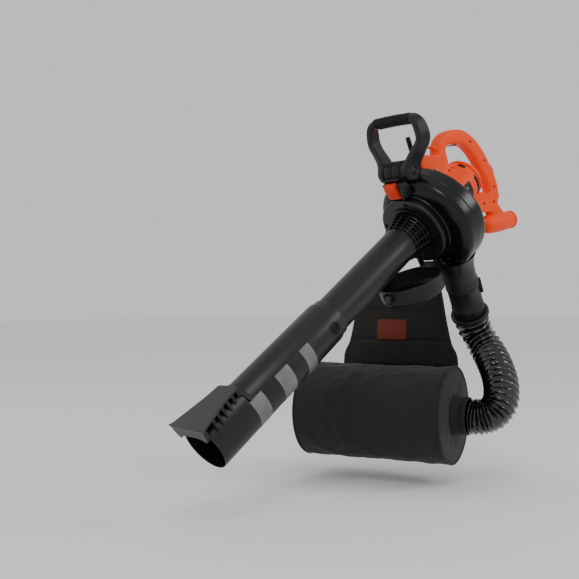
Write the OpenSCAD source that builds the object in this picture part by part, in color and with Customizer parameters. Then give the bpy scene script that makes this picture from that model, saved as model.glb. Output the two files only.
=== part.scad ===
// Corded blower vacuum in its vacuum set-up: fan unit, two-piece suction tube,
// corrugated hose and debris bag. The tool is drawn along its own axis, +Y to the
// rear and the mouth towards -Y, then pitched nose down about its main hand grip.

/* [Stance] */
// Nose-down pitch of the suction tube
pitch = 37; // [30:1:42]

/* [Fan unit] */
// Scroll radius where the spiral starts
scroll_r0 = 102; // [100:1:106]
// Scroll radius at the outlet
scroll_r1 = 168; // [160:1:175]
// Width of the fan scroll along the axis
scroll_w = 92; // [88:1:96]
// Wall of the moulded fan housing
wall = 3; // [2:0.5:4]
// Radius of the air inlet
inlet_r = 66; // [62:1:70]
// Outer radius of the inlet ring
flange_r = 101; // [97:1:104]
// Diameter of the outlet neck
neck_d = 92; // [84:1:92]
// Angle of the outlet neck across the tool
neck_lean = 13; // [8:1:16]
// Radius of the fan impeller
impeller_r = 90; // [80:1:96]
// Number of impeller blades
blades = 8; // [6:1:12]

/* [Motor] */
// Outer radius of the motor casing
casing_r = 60; // [56:1:66]
// Length of the motor casing behind the scroll
casing_len = 150; // [140:1:165]
// Radius of the motor shaft
shaft_r = 5; // [4:0.5:6]
// Outer radius of the stator
stator_r = 45; // [40:1:48]
// Air gap and running play around the armature
air_gap = 0.6; // [0.4:0.1:1]
// Radial play of the shaft in its bearings
shaft_play = 0.05; // [0.02:0.01:0.08]

/* [Handles] */
// Width of the main loop handle
loop_w = 38; // [34:1:42]
// Depth of the loop handle's bar
loop_t = 40; // [36:1:44]
// Overall width of the front handle
front_w = 196; // [180:2:210]
// Height of the front handle above its pivot
front_h = 150; // [140:1:165]
// Radius of the front handle's pivot pin
pivot_r = 6; // [5:0.5:8]

/* [Suction tube] */
// Outer radius of the upper tube
upper_r = 49; // [46:1:52]
// Distance from the inlet ring to the tube joint
upper_len = 400; // [380:5:430]
// Outer radius of the lower tube at the joint
lower_r0 = 58; // [56:1:60]
// Outer radius of the lower tube at the mouth
lower_r1 = 63; // [61:1:66]
// Distance from the inlet ring to the middle of the mouth
tube_len = 866; // [840:2:900]
// Length of upper tube held inside the lower tube
overlap = 70; // [60:5:90]
// Wall of both tubes
tube_wall = 2; // [1.5:0.5:4]

/* [Hose and bag] */
// Outer diameter of the corrugated hose
hose_d = 100; // [94:1:102]
// Diameter of the bag's drum
drum_d = 296; // [280:2:310]
// Length of the bag's drum
drum_len = 455; // [430:5:480]
// Turn of the bag about the vertical
bag_turn = 23; // [20:1:26]
// Height of the back panel above the drum's axis
panel_h = 380; // [350:5:400]

/* [Fits] */
// Gap between parts that move against each other
gap = 0.4; // [0.3:0.1:0.8]
// Radial play of a hinge pin
pin_play = 0.15; // [0.1:0.05:0.3]

/* [Hidden] */
$fn = 64;

orange = "#ff6b2c";
charcoal = "#323232";
black = "#1d1d1d";
steel = "#b8bcc0";
cloth = "#24231f";

// Main hand grip: the loop's middle, which is the origin of the whole part.
grip_y = 352;
grip_z = 0;

// Fan scroll: faces along the axis.
scroll_y0 = 14;
scroll_y1 = scroll_y0 + scroll_w;
split_y = scroll_y0 + scroll_w / 2;
neck_r = neck_d / 2;
spiral_start = 225;
spiral_end = -60;

// Outlet neck: where it leaves the scroll and its lengths below that.
neck_x = 32;
neck_z = -150;
duct_len = 78;
adaptor_len = 118;
collar_len = 16;
collar_r = neck_r + 10;

// Motor stations along the axis.
casing_y0 = scroll_y1;
casing_y1 = casing_y0 + casing_len;
bearing_w = 11;
bearing_r = 16;
front_bearing_y = scroll_y1 - wall - 5;
rear_bearing_y = casing_y0 + 118;
stator_y = casing_y0 + 24;
stator_w = 52;
comm_y = stator_y + stator_w + 12;
comm_w = 18;
comm_r = 14;
bore_r = shaft_r + shaft_play;
armature_r = 24;

// Loop handle: middle line of the bar, as [rear, up] in the tool's middle plane.
loop_line = [[212, 92], [250, 124], [282, 122], [316, 100], [340, 62], [351, 22],
             [355, -20], [354, -62], [345, -98], [318, -120]];
stem_line = [[311, -110], [316, -180]];
stem_w = 46;
bulb_a = [272, -168];
bulb_b = [368, -216];
bulb_r = 27;

// Vent cap, side vents, lead entry and switch on the casing.
cap_len = 24;
cap_clear_r = casing_r + 1;
vent_y0 = casing_y0 + 131;
vent_y1 = casing_y0 + 143;
vent_arcs = [[-55, 15], [48, 69], [111, 132], [165, 235]];
guard_y = 119;
guard_z = 160;
guard_len = 58;
guard_lean = 12;
lead_r = 4.5;
switch_y = 374;
switch_z = -42;
switch_tilt = -91;
switch_axle = -6;
switch_axle_r = 2;
switch_top = 6;
switch_w = 18;
switch_l = 32;
screw_r = 1.6;
case_screws = [[272, 104], [330, 80], [352, 2], [219, 60], [345, -84], [276, -98], [316, -118]];

// Front handle: pivot, lean and hub.
pivot_y = 45;
pivot_z = 160;
front_lean = 29;
hub_r = 27;
hub_w = 66;
arm_t = 16;
bar_r = 12;
bar_z = front_h - 18;

// Release button: slides into the bracket along its own axis.
button_w = 40;
button_y = 10;
button_z0 = 106;
button_h = 34;

// Tube joint and mouth.
joint_y = -upper_len;
mouth_cut = 29;
latch_r = 11;
rake_z = 66;
spigot_r = inlet_r - gap;
bands = [[-521, 34], [-602, 47], [-700, 42]];

// Inlet cover, hanging open under the tube.
cover_r = 92;
cover_depth = 50;
cover_drop = 12;
cover_hinge_y = 6;
cover_hinge_z = -118;
hinge_pin_r = 4;
lug_x = 34;
lug_w = 9;
lug_r = 8;
latch_pin_r = 2.5;

// Bag: middle of the hose-side end of the drum, from the main grip.
bag_at = [33, -142, -730];
cuff_len = 39;
cuff_wall = 4;
panel_t = 14;
bag_wall = 3;
panel_back = drum_d / 2 - 4;
strap_back = panel_back + panel_t + 3;

// Hose route: from the collar to the bag's cuff.
hose_path = [[-13, -25, -452], [-19, -10, -472], [-20, 6, -498], [-8, 16, -526], [16, 14, -553],
             [46, 1, -577], [77, -18, -600], [107, -40, -626], [130, -62, -656], [140, -82, -690],
             [127, -98, -718], [98, -114, -730], [70, -126, -730]];

// ---------- frames and drawing helpers ----------

module tool() { rotate([pitch, 0, 0]) translate([0, -grip_y, -grip_z]) children(); }
module on_neck(s) { translate([neck_x, split_y, neck_z]) rotate([180, neck_lean, 0]) translate([0, 0, s]) children(); }
module on_bag() { translate(bag_at) rotate([0, 0, bag_turn]) children(); }

// Flat outline in X and Z, made solid from y = a to y = b.
module along(a, b) { translate([0, b, 0]) rotate([90, 0, 0]) linear_extrude(b - a) children(); }
// Flat outline in Y and Z, made solid from x = a to x = b.
module across(a, b) { translate([a, 0, 0]) rotate([90, 0, 90]) linear_extrude(b - a) children(); }
// Outline of radius and place along the axis, turned about the tool's axis.
module turned() { rotate([-90, 0, 0]) rotate_extrude() children(); }
module rod_y(r, a, b) { translate([0, a, 0]) rotate([-90, 0, 0]) cylinder(r = r, h = b - a); }
module rod_x(r, a, b) { translate([a, 0, 0]) rotate([0, 90, 0]) cylinder(r = r, h = b - a); }
module ring_y(ro, ri, a, b) { difference() { rod_y(ro, a, b); rod_y(ri, a - 1, b + 1); } }

// Flat bar of even width along a line of points, mitred at its bends.
function unit(v) = v / norm(v);
function heading(p, i) = unit(p[min(i + 1, len(p) - 1)] - p[max(i - 1, 0)]);
function side(p, i, w) = let (d = heading(p, i)) p[i] + w * [-d[1], d[0]];
module bar(p, w) {
    polygon(concat([for (i = [0 : len(p) - 1]) side(p, i, w / 2)],
                   [for (i = [len(p) - 1 : -1 : 0]) side(p, i, -w / 2)]));
}

// ---------- fan scroll ----------

function scroll_r(t) = t >= 0
    ? scroll_r0 + (scroll_r1 - scroll_r0) * pow((spiral_start - t) / spiral_start, 1.25)
    : scroll_r1 + t / 20;
module scroll_outline(inset = 0) {
    polygon([for (t = [spiral_start : -7.5 : spiral_end])
        (scroll_r(t) - inset) * [cos(t), sin(t)]]);
}
module neck_bore() { on_neck(-60) cylinder(r = neck_r - wall, h = 200); }

module fan_housing_front() color(charcoal) tool() difference() {
    union() {
        along(scroll_y0, split_y) difference() { scroll_outline(); scroll_outline(wall); }
        along(scroll_y0, scroll_y0 + wall) difference() { scroll_outline(1); circle(inlet_r); }
        // raised step around the eye of the scroll
        ring_y(flange_r + 8, flange_r + 3, scroll_y0 - 5, scroll_y0 + 1);
        for (s = screw_places) translate([s[0], 0, s[1]]) ring_y(6, 2, scroll_y0 + 1, split_y);
    }
    neck_bore();
}
screw_places = [for (t = [200, 150, 105, 60, 20, -20]) (scroll_r(t) - 9) * [cos(t), sin(t)]];

module fan_housing_rear() color(charcoal) tool() difference() {
    union() {
        along(split_y, scroll_y1) difference() { scroll_outline(); scroll_outline(wall); }
        along(scroll_y1 - wall, scroll_y1) difference() { scroll_outline(1); circle(bearing_r); }
        ring_y(bearing_r + 5, bearing_r, front_bearing_y - 1, scroll_y1 - 1);
        for (s = screw_places) translate([s[0], 0, s[1]]) rod_y(6, split_y, scroll_y1 - 1);
    }
    neck_bore();
    for (s = screw_places) translate([s[0], 0, s[1]]) rod_y(1.5, split_y - 1, scroll_y1 + 1);
}

module outlet_duct() color(charcoal) tool() difference() {
    union() {
        on_neck(-30) cylinder(r = neck_r, h = duct_len + 30);
        on_neck(duct_len - 12) translate([neck_r - 2, -9, 0]) cube([7, 18, 12]);
    }
    on_neck(-60) cylinder(r = neck_r - wall, h = 300);
    along(scroll_y0 - 8, scroll_y1 + 8) scroll_outline(0);
}

module hose_adaptor() color(charcoal) tool() difference() {
    union() {
        on_neck(duct_len) cylinder(r = neck_r, h = adaptor_len);
        // latch ridge on the outer side
        on_neck(duct_len) translate([neck_r - 2, -10, 0]) cube([9, 20, 46]);
        on_neck(duct_len + 10) rotate([0, 0, 200]) translate([neck_r - 2, -6, 0]) cube([6, 12, 14]);
    }
    on_neck(0) cylinder(r = neck_r - wall, h = 300);
}

module inlet_flange() color(black) tool() {
    difference() {
        ring_y(flange_r, inlet_r, -8, scroll_y0);
        // bayonet pockets
        for (t = [15, 105, 195, 285]) rotate([0, t, 0]) translate([flange_r - 16, -9, -9]) cube([7, 9, 18]);
    }
    // lugs of the cover's hinge
    for (x = [-lug_x - lug_w, lug_x]) difference() {
        union() {
            translate([x, -2, cover_hinge_z]) cube([lug_w, 10, 34]);
            translate([0, cover_hinge_y, cover_hinge_z]) rod_x(lug_r, x, x + lug_w);
        }
        translate([0, cover_hinge_y, cover_hinge_z]) rod_x(hinge_pin_r, x - 1, x + lug_w + 1);
        rod_y(flange_r - 1, -9, scroll_y0 + 1);
    }
}

// ---------- motor casing and loop handle ----------

module body_outline() {
    bar(loop_line, loop_t);
    // bridge from the casing up to the handle's front post
    polygon([[casing_y0, 40], [casing_y0, guard_z], [guard_y + 14, guard_z], [152, 136], [182, 124],
             [226, 122], [262, 84], [240, 40]]);
    // foot between the loop's lower end and the casing
    polygon([[200, -45], [216, -64], [262, -118], [300, -140], [350, -112], [340, -86], [306, -84],
             [286, -64], [256, -50]]);
    // stem down to the bulb grip
    bar(stem_line, stem_w);
}
module bulb(r) {
    d = bulb_b - bulb_a;
    translate([0, bulb_a[0], bulb_a[1]]) rotate([atan2(d[1], d[0]) - 90, 0, 0]) {
        cylinder(r = r, h = norm(d));
        sphere(r = r);
    }
}
module casing_half(side) {
    // side is -1 for the left half and 1 for the right half
    x = loop_w / 2;
    difference() {
        union() {
            across(-x, x) body_outline();
            rod_y(casing_r, casing_y0, casing_y1);
            bulb(bulb_r);
        }
        // hollow of the loop, the bridge and the bulb
        across(-x + wall, x - wall) {
            bar(loop_line, loop_t - 2 * wall);
            bar(stem_line, stem_w - 2 * wall);
        }
        bulb(bulb_r - wall);
        // hollow of the motor casing, split by the rear bearing wall
        rod_y(casing_r - wall, casing_y0 - 1, rear_bearing_y);
        rod_y(casing_r - wall, rear_bearing_y + bearing_w, casing_y1 + 1);
        rod_y(bearing_r, casing_y0, casing_y1);
        rod_y(casing_r + gap, casing_y1, casing_y1 + cap_len + 2);
        rod_y(cap_clear_r, casing_y1, casing_y1 + cap_len + 2);
        // opening of the power switch and bore of the cord's entry
        on_switch() translate([-switch_w / 2 - gap, -switch_l / 2 - 2, -10])
            cube([switch_w + 2 * gap, switch_l + 4, 30]);
        translate([0, guard_y, casing_r - wall - 1]) cylinder(r = lead_r, h = 120);
        cord_clamp_block();
        // side vents and screw recesses
        for (a = vent_arcs) vent_ring(a, casing_r - 5, casing_r + 2);
        for (p = case_screws) translate([0, p[0], p[1]]) {
            rod_x(screw_r, -x, x - 4);
            rod_x(screw_r + 1.8, x - 4, x + 1);
        }
        // the other half's side
        translate([side > 0 ? -200 : 0, 0, -300]) cube([200, 600, 600]);
    }
    // posts around the screws
    for (p = case_screws) translate([0, p[0], p[1]]) difference() {
        rod_x(screw_r + 2.5, side > 0 ? 0 : -x + wall - 0.5, side > 0 ? x - 4 : 0);
        rod_x(screw_r, -x, x);
    }
}
module motor_housing_left() color(orange) tool() casing_half(-1);
module motor_housing_right() color(orange) tool() casing_half(1);

// Vent slots run round the casing, each between two angles up from its right side.
module vent_ring(a, r0, r1) {
    rotate([90, 0, 0]) rotate([0, 0, a[0]]) rotate_extrude(angle = a[1] - a[0])
        translate([r0, -vent_y1]) square([r1 - r0, vent_y1 - vent_y0]);
}
module side_vent_inserts() color(black) tool() for (a = vent_arcs) difference() {
    vent_ring(a, casing_r - 5, casing_r - 0.8);
    for (t = [a[0] + 7 : 7 : a[1] - 5]) rotate([0, -t, 0])
        translate([casing_r - 8, vent_y0 + 2, -2]) cube([10, vent_y1 - vent_y0 - 4, 4]);
}

module motor_vent_cap() color(black) tool() difference() {
    turned() polygon([[0, casing_y1 + cap_len], [casing_r - 24, casing_y1 + cap_len], [casing_r - 8, casing_y1 + cap_len - 8],
        [casing_r - 1, casing_y1 + 6], [casing_r, casing_y1], [casing_r - wall, casing_y1],
        [casing_r - wall - 8, casing_y1 + cap_len - 8], [0, casing_y1 + cap_len - wall]]);
    for (k = [-3 : 3]) translate([k * 9 - 2, casing_y1 + 4, -24]) cube([4, cap_len + 4, 48]);
}

module badge_plate() color(steel) tool() rotate([-90, 0, 0]) rotate([0, 0, -16]) rotate_extrude(angle = 58)
    translate([casing_r, casing_y0 + 72]) square([1.5, 36]);

// ---------- front handle ----------

module front_handle_bracket() color(charcoal) tool() difference() {
    union() {
        translate([0, pivot_y, pivot_z]) rod_x(hub_r, -hub_w / 2, hub_w / 2);
        // ratchet teeth
        translate([0, pivot_y, pivot_z]) for (a = [-10 : 14 : 190]) rotate([a, 0, 0])
            translate([-hub_w / 2 + 6, hub_r - 2, -2]) cube([hub_w - 12, 5, 4]);
        // saddle on the scroll and pocket of the release button
        along(scroll_y0 + 6, pivot_y + hub_r) polygon([[-34, 100], [34, 100], [30, pivot_z], [-30, pivot_z]]);
        along(-8, scroll_y0) polygon([[-30, flange_r - 10], [30, flange_r - 10], [26, 150], [-26, 150]]);
        along(scroll_y0 - 1, pivot_y) polygon([[-26, 138], [26, 138], [26, 150], [-26, 150]]);
    }
    along(scroll_y0, scroll_y1) scroll_outline();
    rod_y(flange_r, -20, scroll_y0 + 1);
    ring_y(flange_r + 8, flange_r - 1, scroll_y0 - 5, scroll_y0 + 1);
    translate([-button_w / 2 - gap, -20, button_z0 + 13 - gap]) cube([button_w + 2 * gap, 31, button_h - 11 + 2 * gap]);
    translate([0, pivot_y, pivot_z]) rod_x(pivot_r, -hub_w, hub_w);
}
module handle_pivot_pin() color(steel) tool() translate([0, pivot_y, pivot_z]) {
    half = hub_w / 2 + gap + arm_t + gap;
    rod_x(pivot_r, -half, half);
    rod_x(pivot_r + 3, half, half + 4);
    rod_x(pivot_r + 3, -half - 4, -half);
}
module on_front_handle() { translate([0, pivot_y, pivot_z]) rotate([-front_lean, 0, 0]) children(); }
module front_handle() color(charcoal) tool() on_front_handle() difference() {
    x0 = hub_w / 2 + gap;
    x1 = x0 + arm_t;
    w = front_w / 2;
    union() {
        for (m = [0, 1]) mirror([m, 0, 0]) {
            along(-20, 20) polygon([[x0, -8], [x0, 22], [w - 34, 58], [w - 20, 88], [w - 22, bar_z - 16],
                [w - 40, bar_z + 4], [w - 34, front_h], [w - 16, bar_z + 10], [w - 2, 108], [w, 90],
                [w - 10, 62], [x1 + 12, 40], [x1, 16], [x1, -8]]);
            rod_x(21, x0, x1);
        }
        translate([0, 0, bar_z]) rod_x(bar_r, -w + 30, w - 30);
    }
    rod_x(pivot_r + pin_play, -w, w);
}
module front_handle_grip() color(black) tool() on_front_handle() translate([0, 0, bar_z]) difference() {
    half = front_w / 2 - 41;
    union() {
        rod_x(bar_r + 3.5, -half, half);
        for (i = [-6 : 6]) rod_x(bar_r + 6, i * half / 7 - 1.6, i * half / 7 + 1.6);
    }
    rod_x(bar_r, -half - 1, half + 1);
}
module handle_release_button() color("#e0562a") tool() difference() {
    translate([-button_w / 2, -button_y - 8, button_z0 + 13]) cube([button_w, button_y + 12, button_h - 11]);
    rod_spring(5, -6, 6);
}
module rod_spring(r, a, b) { translate([0, 0, button_z0 + 24]) rod_y(r, a, b); }
module release_button_spring() color(steel) tool() translate([0, 0, button_z0 + 24])
    for (k = [0 : 5]) ring_y(4, 2.8, 0.2 + k * 1.8, 2 + k * 1.8);

// ---------- lead entry, switch and small covers ----------

module cord_guard() color(black) tool() translate([0, guard_y, guard_z]) rotate([-guard_lean, 0, 0]) difference() {
    union() {
        translate([0, 0, -1]) cylinder(r1 = 7.5, r2 = 5.5, h = guard_len + 1);
        for (k = [0 : 5]) translate([0, 0, 8 + k * 8]) cylinder(r = 7.8 - k * 0.2, h = 3);
    }
    translate([0, 0, -20]) cylinder(r = lead_r, h = guard_len + 40);
    rotate([guard_lean, 0, 0]) translate([0, 0, -20]) cube([40, 40, 40], center = true);
}
module cord_clamp_block() { translate([-11, guard_y - 6, 66]) cube([22, 12, 10]); }
module cord_clamp() color(black) tool() difference() {
    cord_clamp_block();
    translate([0, guard_y, 50]) cylinder(r = lead_r, h = 40);
}
module on_switch() { translate([0, switch_y, switch_z]) rotate([switch_tilt, 0, 0]) children(); }
module power_switch() color(black) tool() on_switch() difference() {
    union() {
        translate([-switch_w / 2, -switch_l / 2, switch_axle - 1]) cube([switch_w, switch_l, switch_top - switch_axle + 1]);
        translate([0, 0, switch_axle]) rod_x(switch_axle_r + 3, -switch_w / 2, switch_w / 2);
    }
    translate([0, 0, switch_axle]) rod_x(switch_axle_r + pin_play, -switch_w, switch_w);
    for (m = [0, 1]) mirror([0, m, 0]) translate([-switch_w, 2, switch_top]) rotate([-7, 0, 0]) cube([2 * switch_w, switch_l, 9]);
}
module switch_body() color(charcoal) tool() on_switch() {
    translate([-switch_w / 2, -switch_l / 2, -19]) cube([switch_w, switch_l, 6]);
    translate([0, 0, switch_axle]) rod_x(switch_axle_r, -switch_w / 2 - 2, switch_w / 2 + 2);
    for (m = [0, 1]) mirror([m, 0, 0]) {
        translate([switch_w / 2 + gap, -4, -19]) cube([2, 8, 16.5]);
        translate([0, -4, -19]) cube([switch_w / 2 + gap + 1, 8, 2]);
    }
}
module bulb_end_cap() color(black) tool() translate([0, bulb_a[0], bulb_a[1]])
    rotate([atan2(bulb_b[1] - bulb_a[1], bulb_b[0] - bulb_a[0]) - 90, 0, 0])
    translate([0, 0, norm(bulb_b - bulb_a)]) difference() {
        cylinder(r1 = bulb_r, r2 = bulb_r - 8, h = 12);
        translate([-9, -3, 4]) cube([18, 6, 12]);
    }
module interlock_switch() color(black) tool() translate([-10, scroll_y0 + wall, -98]) difference() {
    cube([20, 10, 12]);
    translate([4, -1, 4]) cube([12, 4, 4]);
}

// ---------- motor and fan ----------

module motor_stator() color("#8a8f94") tool() difference() {
    rod_y(stator_r, stator_y, stator_y + stator_w);
    rod_y(armature_r + air_gap, stator_y - 1, stator_y + stator_w + 1);
    for (m = [-1, 1]) translate([m * 34 - 5, stator_y - 1, -12]) cube([10, stator_w + 2, 24]);
}
module motor_armature() color("#7a4a2c") tool() difference() {
    rod_y(armature_r, stator_y, stator_y + stator_w);
    for (a = [0 : 30 : 330]) rotate([0, a, 0]) translate([armature_r - 5, stator_y - 1, -1.2]) cube([6, stator_w + 2, 2.4]);
    rod_y(shaft_r, stator_y - 1, stator_y + stator_w + 1);
}
module commutator() color("#b87333") tool() ring_y(comm_r, shaft_r, comm_y, comm_y + comm_w);
module motor_shaft() color(steel) tool() rod_y(shaft_r, scroll_y0 + 14, rear_bearing_y + bearing_w + 2);
module bearing(y) { ring_y(bearing_r, bore_r, y, y + bearing_w); }
module bearing_front() color(steel) tool() bearing(front_bearing_y);
module bearing_rear() color(steel) tool() bearing(rear_bearing_y);
module carbon_brushes() color("#555555") tool() for (m = [0, 1]) mirror([m, 0, 0]) difference() {
    translate([comm_r - 2, comm_y + 4, -5]) cube([casing_r - wall - comm_r, comm_w - 8, 10]);
    rod_y(comm_r + gap, comm_y, comm_y + comm_w);
    difference() {
        rod_y(casing_r + 10, comm_y, comm_y + comm_w);
        rod_y(casing_r - wall, comm_y - 1, comm_y + comm_w + 1);
    }
}
module fan_impeller() color("#2a2a2a") tool() {
    difference() {
        union() {
            rod_y(impeller_r, split_y + 18, split_y + 22);
            rod_y(16, scroll_y0 + 24, split_y + 20);
            for (a = [0 : 360 / blades : 359]) rotate([0, a, 0])
                translate([14, scroll_y0 + 26, -1.5]) cube([impeller_r - 16, split_y - scroll_y0 - 6, 3]);
        }
        rod_y(shaft_r, 0, scroll_y1);
    }
}
module impeller_nut() color(steel) tool() difference() {
    translate([0, scroll_y0 + 16, 0]) rotate([-90, 0, 0]) cylinder(r = 9, h = 8, $fn = 6);
    rod_y(shaft_r, scroll_y0, scroll_y0 + 40);
}

// ---------- inlet cover ----------

module on_cover() { translate([0, cover_hinge_y, cover_hinge_z]) rotate([-cover_drop, 0, 0]) children(); }
cover_mid = -(cover_r + 12);
latch_y = cover_mid - cover_r - 5.5;
module inlet_cover() color(charcoal) tool() on_cover() difference() {
    union() {
        translate([0, cover_mid, -cover_depth]) cylinder(r = cover_r, h = cover_depth);
        // hinge knuckle and its arm
        rod_x(lug_r - 1, -lug_x + gap, lug_x - gap);
        translate([-lug_x + gap, -26, -7]) cube([2 * (lug_x - gap), 24, 9]);
        // latch cheeks
        for (x = [-13, 9]) translate([x, latch_y - 5, -18]) cube([4, 14, 14]);
    }
    translate([0, cover_mid, -cover_depth + wall]) cylinder(r = cover_r - wall, h = cover_depth);
    rod_x(hinge_pin_r + pin_play, -60, 60);
    translate([0, latch_y, -11]) rod_x(latch_pin_r + pin_play, -20, 20);
    // air slots in the cover's face
    for (k = [-5 : 5]) translate([-58, cover_mid - 3 + k * 12, -cover_depth - 1]) cube([116, 5, wall + 2]);
}
module cover_hinge_pin() color(steel) tool() translate([0, cover_hinge_y, cover_hinge_z])
    rod_x(hinge_pin_r, -lug_x - lug_w - 2, lug_x + lug_w + 2);
module cover_latch() color(black) tool() on_cover() translate([0, latch_y, -11]) {
    rod_x(4, -9 + gap, 9 - gap);
    translate([-9 + gap, -4, -22]) cube([18 - 2 * gap, 4, 24]);
    translate([-9 + gap, -8, -22]) cube([18 - 2 * gap, 5, 5]);
    rod_x(latch_pin_r, -13, 13);
}

// ---------- suction tube ----------

function lower_r(y) = lower_r0 + (lower_r1 - lower_r0) * (joint_y - y) / (tube_len - upper_len);
// Outline of the tube's flared root, from the ring to the straight tube, set in or out.
function root_outline(d) = [[61 + d, -14], [54 + d, -34], [upper_r + 1 + d, -62], [upper_r + d, -90]];
module suction_tube_upper() color(black) tool() {
    end = joint_y - overlap;
    inner = root_outline(-tube_wall);
    turned() polygon(concat(
        [[spigot_r, scroll_y0 - 2], [spigot_r, -8.5], [spigot_r + 9, -8.5], [spigot_r + 9, -14]],
        root_outline(0), [[upper_r, end], [upper_r - tube_wall, end]],
        [inner[3], inner[2], inner[1], inner[0], [spigot_r - 5, scroll_y0 - 2]]));
    // rings and fins that stiffen the root
    for (k = [0 : 4]) ring_y(66 - k * 3, root_r(-22 - k * 10) - 1, -23.2 - k * 10, -20.8 - k * 10);
    for (a = [-80 : 20 : 100]) rotate([0, -a, 0]) translate([0, 0, -1]) linear_extrude(2)
        polygon([[60, -14.5], [67, -22], [54, -68], [upper_r - 0.8, -68], [upper_r, -62], [53, -34]]);
}
function root_r(y) = y > -34 ? 54 + 7 * (y + 34) / 20 : upper_r + 1 + (53 - upper_r) * (y + 62) / 28;
module mouth_cutter() {
    translate([0, -tube_len, 0]) rotate([mouth_cut, 0, 0]) translate([-150, -300, -200]) cube([300, 300, 400]);
}
module suction_tube_lower() color(black) tool() difference() {
    end = -tube_len - 60;
    turned() polygon([[upper_r + gap, joint_y + 12], [upper_r + 4, joint_y + 12], [upper_r + 4.5, joint_y],
        [lower_r0, joint_y - 14], [lower_r(end), end], [lower_r(end) - tube_wall, end],
        [lower_r(joint_y - overlap) - 4, joint_y - overlap - 12], [upper_r + gap, joint_y - overlap + 4]]);
    mouth_cutter();
    // pocket of the latch button
    translate([lower_r0 - 7, joint_y - 32, 0]) rod_x(latch_r + gap, 0, 20);
}
module tube_latch_button() color(charcoal) tool() translate([lower_r0 - 7 + 3, joint_y - 32, 0]) {
    rod_x(latch_r, 0, 6);
    for (k = [-2 : 2]) translate([6, k * 4.2 - 1, -8 + 1.6 * abs(k)])
        cube([1.6, 2, 16 - 3.2 * abs(k)]);
}
module leaf_rake() color(black) tool() difference() {
    union() {
        translate([0, 0, rake_z]) linear_extrude(4) polygon([[-38, -738], [38, -738], [46, -790], [70, -872],
            [66, -884], [-66, -884], [-70, -872], [-46, -790]]);
        for (m = [0, 1]) mirror([m, 0, 0]) for (k = [0 : 5])
            translate([36 + k * 3, -752 - k * 19, 20]) cube([4, 9, rake_z - 18]);
        translate([-9, -741, 40]) cube([18, 4, rake_z - 28]);
    }
    turned() polygon([[0, -600], [lower_r(-600) , -600], [lower_r(-1000), -1000], [0, -1000]]);
}
module band(y, w) {
    for (m = [0, 1]) mirror([m, 0, 0]) rotate([-90, 0, 0]) rotate([0, 0, -28]) rotate_extrude(angle = 98)
        polygon([[lower_r(y), y], [lower_r(y) + 0.6, y], [lower_r(y - w) + 0.6, y - w], [lower_r(y - w), y - w]]);
}
module reflective_bands() color("#9a9a9a") tool() for (b = bands) band(b[0], b[1]);

// ---------- hose and bag ----------

module hose_collar() color(charcoal) tool() difference() {
    on_neck(duct_len + adaptor_len - 12) difference() {
        union() {
            cylinder(r = collar_r - 3, h = collar_len);
            translate([0, 0, 4]) cylinder(r = collar_r, h = 9);
        }
        translate([0, 0, -1]) cylinder(r = neck_r + gap, h = 13 + gap);
        cylinder(r = neck_r - 4, h = 50);
    }
}

// Tube along a route: rings square to the route, joined into one closed skin.
function carried(n, t) = unit(n - (n * t) * t);
function normals(p, i = 0, n = [1, 0, 0]) = i == len(p) ? [] :
    let (m = carried(n, heading(p, i))) concat([m], normals(p, i + 1, m));
module swept(p, r, sides) {
    ns = normals(p);
    pts = [for (i = [0 : len(p) - 1]) let (t = heading(p, i), u = ns[i], v = cross(t, u))
        for (k = [0 : sides - 1]) p[i] + r * (cos(k * 360 / sides) * u + sin(k * 360 / sides) * v)];
    last = (len(p) - 1) * sides;
    polyhedron(points = pts, faces = concat(
        [[for (k = [0 : sides - 1]) k]],
        [[for (k = [sides - 1 : -1 : 0]) last + k]],
        [for (i = [0 : len(p) - 2]) for (k = [0 : sides - 1])
            [i * sides + k, (i + 1) * sides + k, (i + 1) * sides + (k + 1) % sides, i * sides + (k + 1) % sides]]));
}
module vacuum_hose() color(black) swept(hose_path, hose_d / 2, 12);

module bag_cuff() color(cloth) on_bag() difference() {
    rod_x(hose_d / 2 + cuff_wall, 0, cuff_len);
    rod_x(hose_d / 2 - 2, -1, cuff_len + 1);
}
module bag_drum() color(cloth) on_bag() difference() {
    rod_x(drum_d / 2, -drum_len, 0);
    rod_x(drum_d / 2 - bag_wall, -drum_len + bag_wall, -bag_wall);
    rod_x(hose_d / 2 - 2, -20, 1);
}
module bag_back_panel() color(cloth) on_bag() difference() {
    translate([-drum_len / 2, 0, 0]) along(panel_back, panel_back + panel_t)
        polygon([[-182, -60], [182, -60], [182, 150], [160, 190], [128, panel_h], [-128, panel_h], [-160, 190], [-182, 150]]);
    rod_x(drum_d / 2, -drum_len, 0);
}
module on_zip() { on_bag() rotate([-42, 0, 0]) translate([0, drum_d / 2, 0]) children(); }
module bag_zip() color("#3a3a3a") on_zip() translate([-drum_len + 20, 0, -8]) cube([drum_len - 40, 2, 16]);
module zip_puller() color(steel) on_zip() {
    translate([-44, 2 + gap, -5]) cube([14, 3, 10]);
    translate([-60, 3 + gap, -3.5]) cube([18, 1.6, 7]);
}
module shoulder_straps() color(cloth) on_bag() translate([-drum_len / 2, 0, 0])
    for (x = [-98, 52]) across(x, x + 46)
        bar([[strap_back, panel_h - 8], [strap_back, panel_h - 26], [strap_back + 12, panel_h - 46], [200, panel_h - 70],
             [212, panel_h - 100], [218, 240], [214, 180], [200, 134], [strap_back + 12, 110], [strap_back, 90],
             [strap_back, 70]], 6);
module bag_label() color("#8c3a24") on_bag() translate([-drum_len / 2 - 22, panel_back - 1.2, 232])
    cube([96, 1.2, 62], center = true);

// ---------- screws ----------

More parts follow.
